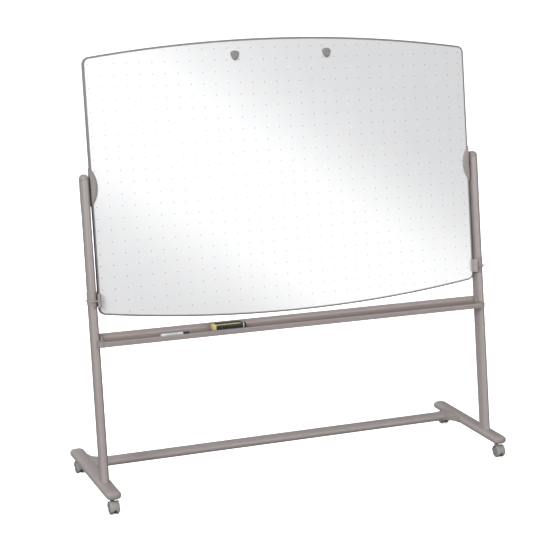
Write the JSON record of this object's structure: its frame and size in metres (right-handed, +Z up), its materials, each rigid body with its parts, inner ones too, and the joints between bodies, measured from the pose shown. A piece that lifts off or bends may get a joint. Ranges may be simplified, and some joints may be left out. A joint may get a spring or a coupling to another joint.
{
  "type": "rolling whiteboard",
  "caption": "Reversible dry-erase board with arched edges, hung on pivots between leaning posts of a caster stand with feet, rail, marker tray and sliding board locks",
  "frame": {"origin": "on the floor at the centre of the stand's bounding box", "axes": "+X along the board to the user's right, +Y from the writing side to the back, +Z up"},
  "size_m": [1.946, 0.625, 1.9503],
  "materials": {
    "powder_coat": "warm grey powder coat, satin",
    "frame_coat": "warm grey edge trim, satin",
    "grey_moulding": "warm grey moulding, fine texture",
    "latch_grey": "darker grey moulding",
    "black_nylon": "black nylon",
    "steel": "zinc-plated steel",
    "panel_core": "fibreboard core",
    "writing_surface": "gloss white dry-erase laminate with a fine grid of grey dots",
    "caster_body": "greenish grey nylon",
    "caster_steel": "dull steel",
    "wheel": "grey nylon wheel",
    "marker_white": "white barrel with a plain pale blue band",
    "marker_black": "black",
    "eraser_case": "black with plain yellow trim",
    "eraser_felt": "grey felt"
  },
  "bodies": {
    "stand": {"left_foot_tube": "powder_coat", "right_foot_tube": "powder_coat", "foot_end_caps": "grey_moulding", "left_post": "powder_coat", "right_post": "powder_coat", "post_end_caps": "grey_moulding", "post_plugs": "black_nylon", "post_bolts": "steel", "bottom_rail": "powder_coat", "rail_gussets": "grey_moulding", "marker_tray": "powder_coat", "left_tray_end": "grey_moulding", "right_tray_end": "grey_moulding", "tray_screws": "steel", "left_lock_collar": "grey_moulding", "right_lock_collar": "grey_moulding", "collar_screws": "steel", "pivot_bushes": "black_nylon", "caster_sockets": "black_nylon"},
    "board": {"board_core": "panel_core", "front_writing_sheet": "writing_surface", "back_writing_sheet": "writing_surface", "top_edge_frame": "frame_coat", "bottom_edge_frame": "frame_coat", "left_pivot_bracket": "grey_moulding", "right_pivot_bracket": "grey_moulding", "bracket_screws": "steel", "pivot_pins": "steel", "left_flipchart_hook": "latch_grey", "right_flipchart_hook": "latch_grey"},
    "left_latch": {"left_lock_latch": "latch_grey"},
    "right_latch": {"right_lock_latch": "latch_grey"},
    "front_left_caster": {"front_left_caster_hood": "caster_body", "front_left_caster_stem": "caster_steel", "front_left_caster_axle": "caster_steel"},
    "front_left_left_wheel": {"front_left_left_wheel": "wheel"},
    "front_left_right_wheel": {"front_left_right_wheel": "wheel"},
    "front_right_caster": {"front_right_caster_hood": "caster_body", "front_right_caster_stem": "caster_steel", "front_right_caster_axle": "caster_steel"},
    "front_right_left_wheel": {"front_right_left_wheel": "wheel"},
    "front_right_right_wheel": {"front_right_right_wheel": "wheel"},
    "back_left_caster": {"back_left_caster_hood": "caster_body", "back_left_caster_stem": "caster_steel", "back_left_caster_axle": "caster_steel"},
    "back_left_left_wheel": {"back_left_left_wheel": "wheel"},
    "back_left_right_wheel": {"back_left_right_wheel": "wheel"},
    "back_right_caster": {"back_right_caster_hood": "caster_body", "back_right_caster_stem": "caster_steel", "back_right_caster_axle": "caster_steel"},
    "back_right_left_wheel": {"back_right_left_wheel": "wheel"},
    "back_right_right_wheel": {"back_right_right_wheel": "wheel"},
    "marker": {"marker_barrel": "marker_white"},
    "marker_cap": {"marker_cap": "marker_black"},
    "eraser": {"eraser_body": "eraser_case", "eraser_felt": "eraser_felt"}
  },
  "joints": [
    {"name": "board_flip", "type": "hinge", "parent": "stand", "child": "board", "pos_m": [0, 0.052, 1.347], "axis": [1, 0, 0], "continuous": true},
    {"name": "left_latch_slide", "type": "slide", "parent": "stand", "child": "left_latch", "axis": [-1, 0, 0], "range_m": [0, 0.009]},
    {"name": "right_latch_slide", "type": "slide", "parent": "stand", "child": "right_latch", "axis": [1, 0, 0], "range_m": [0, 0.009]},
    {"name": "front_left_caster_swivel", "type": "hinge", "parent": "stand", "child": "front_left_caster", "pos_m": [-0.94, -0.262, 0.06], "axis": [0, 0, 1], "continuous": true},
    {"name": "front_left_left_wheel_spin", "type": "hinge", "parent": "front_left_caster", "child": "front_left_left_wheel", "pos_m": [-0.9545, -0.284, 0.025], "axis": [1, 0, 0], "continuous": true},
    {"name": "front_left_right_wheel_spin", "type": "hinge", "parent": "front_left_caster", "child": "front_left_right_wheel", "pos_m": [-0.9255, -0.284, 0.025], "axis": [1, 0, 0], "continuous": true},
    {"name": "front_right_caster_swivel", "type": "hinge", "parent": "stand", "child": "front_right_caster", "pos_m": [0.94, -0.262, 0.06], "axis": [0, 0, 1], "continuous": true},
    {"name": "front_right_left_wheel_spin", "type": "hinge", "parent": "front_right_caster", "child": "front_right_left_wheel", "pos_m": [0.9255, -0.284, 0.025], "axis": [1, 0, 0], "continuous": true},
    {"name": "front_right_right_wheel_spin", "type": "hinge", "parent": "front_right_caster", "child": "front_right_right_wheel", "pos_m": [0.9545, -0.284, 0.025], "axis": [1, 0, 0], "continuous": true},
    {"name": "back_left_caster_swivel", "type": "hinge", "parent": "stand", "child": "back_left_caster", "pos_m": [-0.94, 0.274, 0.06], "axis": [0, 0, 1], "continuous": true},
    {"name": "back_left_left_wheel_spin", "type": "hinge", "parent": "back_left_caster", "child": "back_left_left_wheel", "pos_m": [-0.9545, 0.252, 0.025], "axis": [1, 0, 0], "continuous": true},
    {"name": "back_left_right_wheel_spin", "type": "hinge", "parent": "back_left_caster", "child": "back_left_right_wheel", "pos_m": [-0.9255, 0.252, 0.025], "axis": [1, 0, 0], "continuous": true},
    {"name": "back_right_caster_swivel", "type": "hinge", "parent": "stand", "child": "back_right_caster", "pos_m": [0.94, 0.274, 0.06], "axis": [0, 0, 1], "continuous": true},
    {"name": "back_right_left_wheel_spin", "type": "hinge", "parent": "back_right_caster", "child": "back_right_left_wheel", "pos_m": [0.9255, 0.252, 0.025], "axis": [1, 0, 0], "continuous": true},
    {"name": "back_right_right_wheel_spin", "type": "hinge", "parent": "back_right_caster", "child": "back_right_right_wheel", "pos_m": [0.9545, 0.252, 0.025], "axis": [1, 0, 0], "continuous": true},
    {"name": "marker_lift", "type": "slide", "parent": "stand", "child": "marker", "axis": [0, 0, 1], "range_m": [0, 0.15]},
    {"name": "marker_cap_pull", "type": "slide", "parent": "marker", "child": "marker_cap", "axis": [1, 0, 0], "range_m": [0, 0.04]},
    {"name": "eraser_lift", "type": "slide", "parent": "stand", "child": "eraser", "axis": [0, 0, 1], "range_m": [0, 0.15]}
  ]
}
